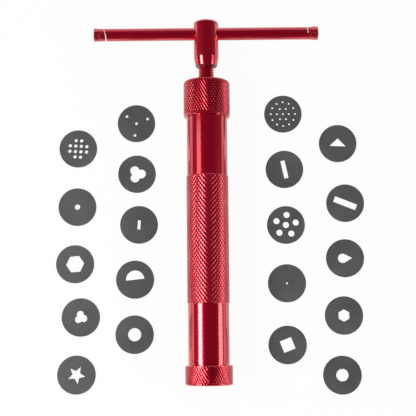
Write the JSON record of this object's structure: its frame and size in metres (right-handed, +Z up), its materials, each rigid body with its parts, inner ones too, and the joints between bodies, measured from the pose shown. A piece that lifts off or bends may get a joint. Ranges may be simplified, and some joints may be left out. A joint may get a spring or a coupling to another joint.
{
  "type": "pottery clay extruder",
  "caption": "Screw-driven clay extruder with a knurled barrel, two screw caps, a T-handle and a set of loose round dies that shape the clay.",
  "frame": {"origin": "middle of the footprint of the whole set, on the surface it lies on", "axes": "+Y along the tool's axis from the outlet towards the T-handle, +Z up from the surface, +X across"},
  "size_m": [0.1548, 0.1864, 0.023],
  "materials": {
    "red_anodised": "red anodised, polished",
    "bare_aluminium": "machined",
    "seal_rubber": "satin",
    "fixing_steel": "bright zinc",
    "die_steel": "dark satin"
  },
  "bodies": {
    "barrel": {"barrel": "red_anodised"},
    "bottom_cap": {"bottom_cap": "red_anodised"},
    "top_cap": {"top_cap": "red_anodised"},
    "piston": {"piston": "bare_aluminium", "piston_seal": "seal_rubber"},
    "screw": {"screw_rod": "red_anodised", "piston_fixing": "fixing_steel", "handle_hub": "red_anodised"},
    "tommy_bar": {"tommy_bar": "red_anodised"},
    "die_nineteen_holes": {"die_nineteen_holes": "die_steel"},
    "die_four_holes": {"die_four_holes": "die_steel"},
    "die_triangle": {"die_triangle": "die_steel"},
    "die_twelve_holes": {"die_twelve_holes": "die_steel"},
    "die_slot_medium": {"die_slot_medium": "die_steel"},
    "die_trefoil_large": {"die_trefoil_large": "die_steel"},
    "die_slot_wide": {"die_slot_wide": "die_steel"},
    "die_round_small": {"die_round_small": "die_steel"},
    "die_slot_small": {"die_slot_small": "die_steel"},
    "die_six_holes": {"die_six_holes": "die_steel"},
    "die_teardrop": {"die_teardrop": "die_steel"},
    "die_hexagon_large": {"die_hexagon_large": "die_steel"},
    "die_half_moon": {"die_half_moon": "die_steel"},
    "die_pinhole": {"die_pinhole": "die_steel"},
    "die_hexagon_small": {"die_hexagon_small": "die_steel"},
    "die_trefoil_small": {"die_trefoil_small": "die_steel"},
    "die_round_large": {"die_round_large": "die_steel"},
    "die_square": {"die_square": "die_steel"},
    "die_star": {"die_star": "die_steel"},
    "die_round_medium": {"die_round_medium": "die_steel"}
  },
  "joints": [
    {"name": "bottom_cap_off", "type": "slide", "parent": "barrel", "child": "bottom_cap", "axis": [0, -1, 0], "range_m": [0, 0.03]},
    {"name": "top_cap_off", "type": "slide", "parent": "barrel", "child": "top_cap", "axis": [0, 1, 0], "range_m": [0, 0.15]},
    {"name": "piston_feed", "type": "slide", "parent": "top_cap", "child": "piston", "axis": [0, -1, 0], "range_m": [-0.124, 0.007]},
    {"name": "screw_turn", "type": "hinge", "parent": "piston", "child": "screw", "pos_m": [-0.00137, 0, 0.0115], "axis": [0, -1, 0], "range_deg": [-35730, 2025]},
    {"name": "bar_slide", "type": "slide", "parent": "screw", "child": "tommy_bar", "axis": [1, 0, 0], "range_m": [-0.0445, 0.0445]},
    {"name": "lift_nineteen_holes", "type": "slide", "parent": "barrel", "child": "die_nineteen_holes", "axis": [0, 0, 1], "range_m": [0, 0.03]},
    {"name": "lift_four_holes", "type": "slide", "parent": "barrel", "child": "die_four_holes", "axis": [0, 0, 1], "range_m": [0, 0.03]},
    {"name": "lift_triangle", "type": "slide", "parent": "barrel", "child": "die_triangle", "axis": [0, 0, 1], "range_m": [0, 0.03]},
    {"name": "lift_twelve_holes", "type": "slide", "parent": "barrel", "child": "die_twelve_holes", "axis": [0, 0, 1], "range_m": [0, 0.03]},
    {"name": "lift_slot_medium", "type": "slide", "parent": "barrel", "child": "die_slot_medium", "axis": [0, 0, 1], "range_m": [0, 0.03]},
    {"name": "lift_trefoil_large", "type": "slide", "parent": "barrel", "child": "die_trefoil_large", "axis": [0, 0, 1], "range_m": [0, 0.03]},
    {"name": "lift_slot_wide", "type": "slide", "parent": "barrel", "child": "die_slot_wide", "axis": [0, 0, 1], "range_m": [0, 0.03]},
    {"name": "lift_round_small", "type": "slide", "parent": "barrel", "child": "die_round_small", "axis": [0, 0, 1], "range_m": [0, 0.03]},
    {"name": "lift_slot_small", "type": "slide", "parent": "barrel", "child": "die_slot_small", "axis": [0, 0, 1], "range_m": [0, 0.03]},
    {"name": "lift_six_holes", "type": "slide", "parent": "barrel", "child": "die_six_holes", "axis": [0, 0, 1], "range_m": [0, 0.03]},
    {"name": "lift_teardrop", "type": "slide", "parent": "barrel", "child": "die_teardrop", "axis": [0, 0, 1], "range_m": [0, 0.03]},
    {"name": "lift_hexagon_large", "type": "slide", "parent": "barrel", "child": "die_hexagon_large", "axis": [0, 0, 1], "range_m": [0, 0.03]},
    {"name": "lift_half_moon", "type": "slide", "parent": "barrel", "child": "die_half_moon", "axis": [0, 0, 1], "range_m": [0, 0.03]},
    {"name": "lift_pinhole", "type": "slide", "parent": "barrel", "child": "die_pinhole", "axis": [0, 0, 1], "range_m": [0, 0.03]},
    {"name": "lift_hexagon_small", "type": "slide", "parent": "barrel", "child": "die_hexagon_small", "axis": [0, 0, 1], "range_m": [0, 0.03]},
    {"name": "lift_trefoil_small", "type": "slide", "parent": "barrel", "child": "die_trefoil_small", "axis": [0, 0, 1], "range_m": [0, 0.03]},
    {"name": "lift_round_large", "type": "slide", "parent": "barrel", "child": "die_round_large", "axis": [0, 0, 1], "range_m": [0, 0.03]},
    {"name": "lift_square", "type": "slide", "parent": "barrel", "child": "die_square", "axis": [0, 0, 1], "range_m": [0, 0.03]},
    {"name": "lift_star", "type": "slide", "parent": "barrel", "child": "die_star", "axis": [0, 0, 1], "range_m": [0, 0.03]},
    {"name": "lift_round_medium", "type": "slide", "parent": "barrel", "child": "die_round_medium", "axis": [0, 0, 1], "range_m": [0, 0.03]}
  ],
  "couplings": [
    {"joint": "screw_turn", "follows": "piston_feed", "rad_per_m": 5026.5}
  ]
}
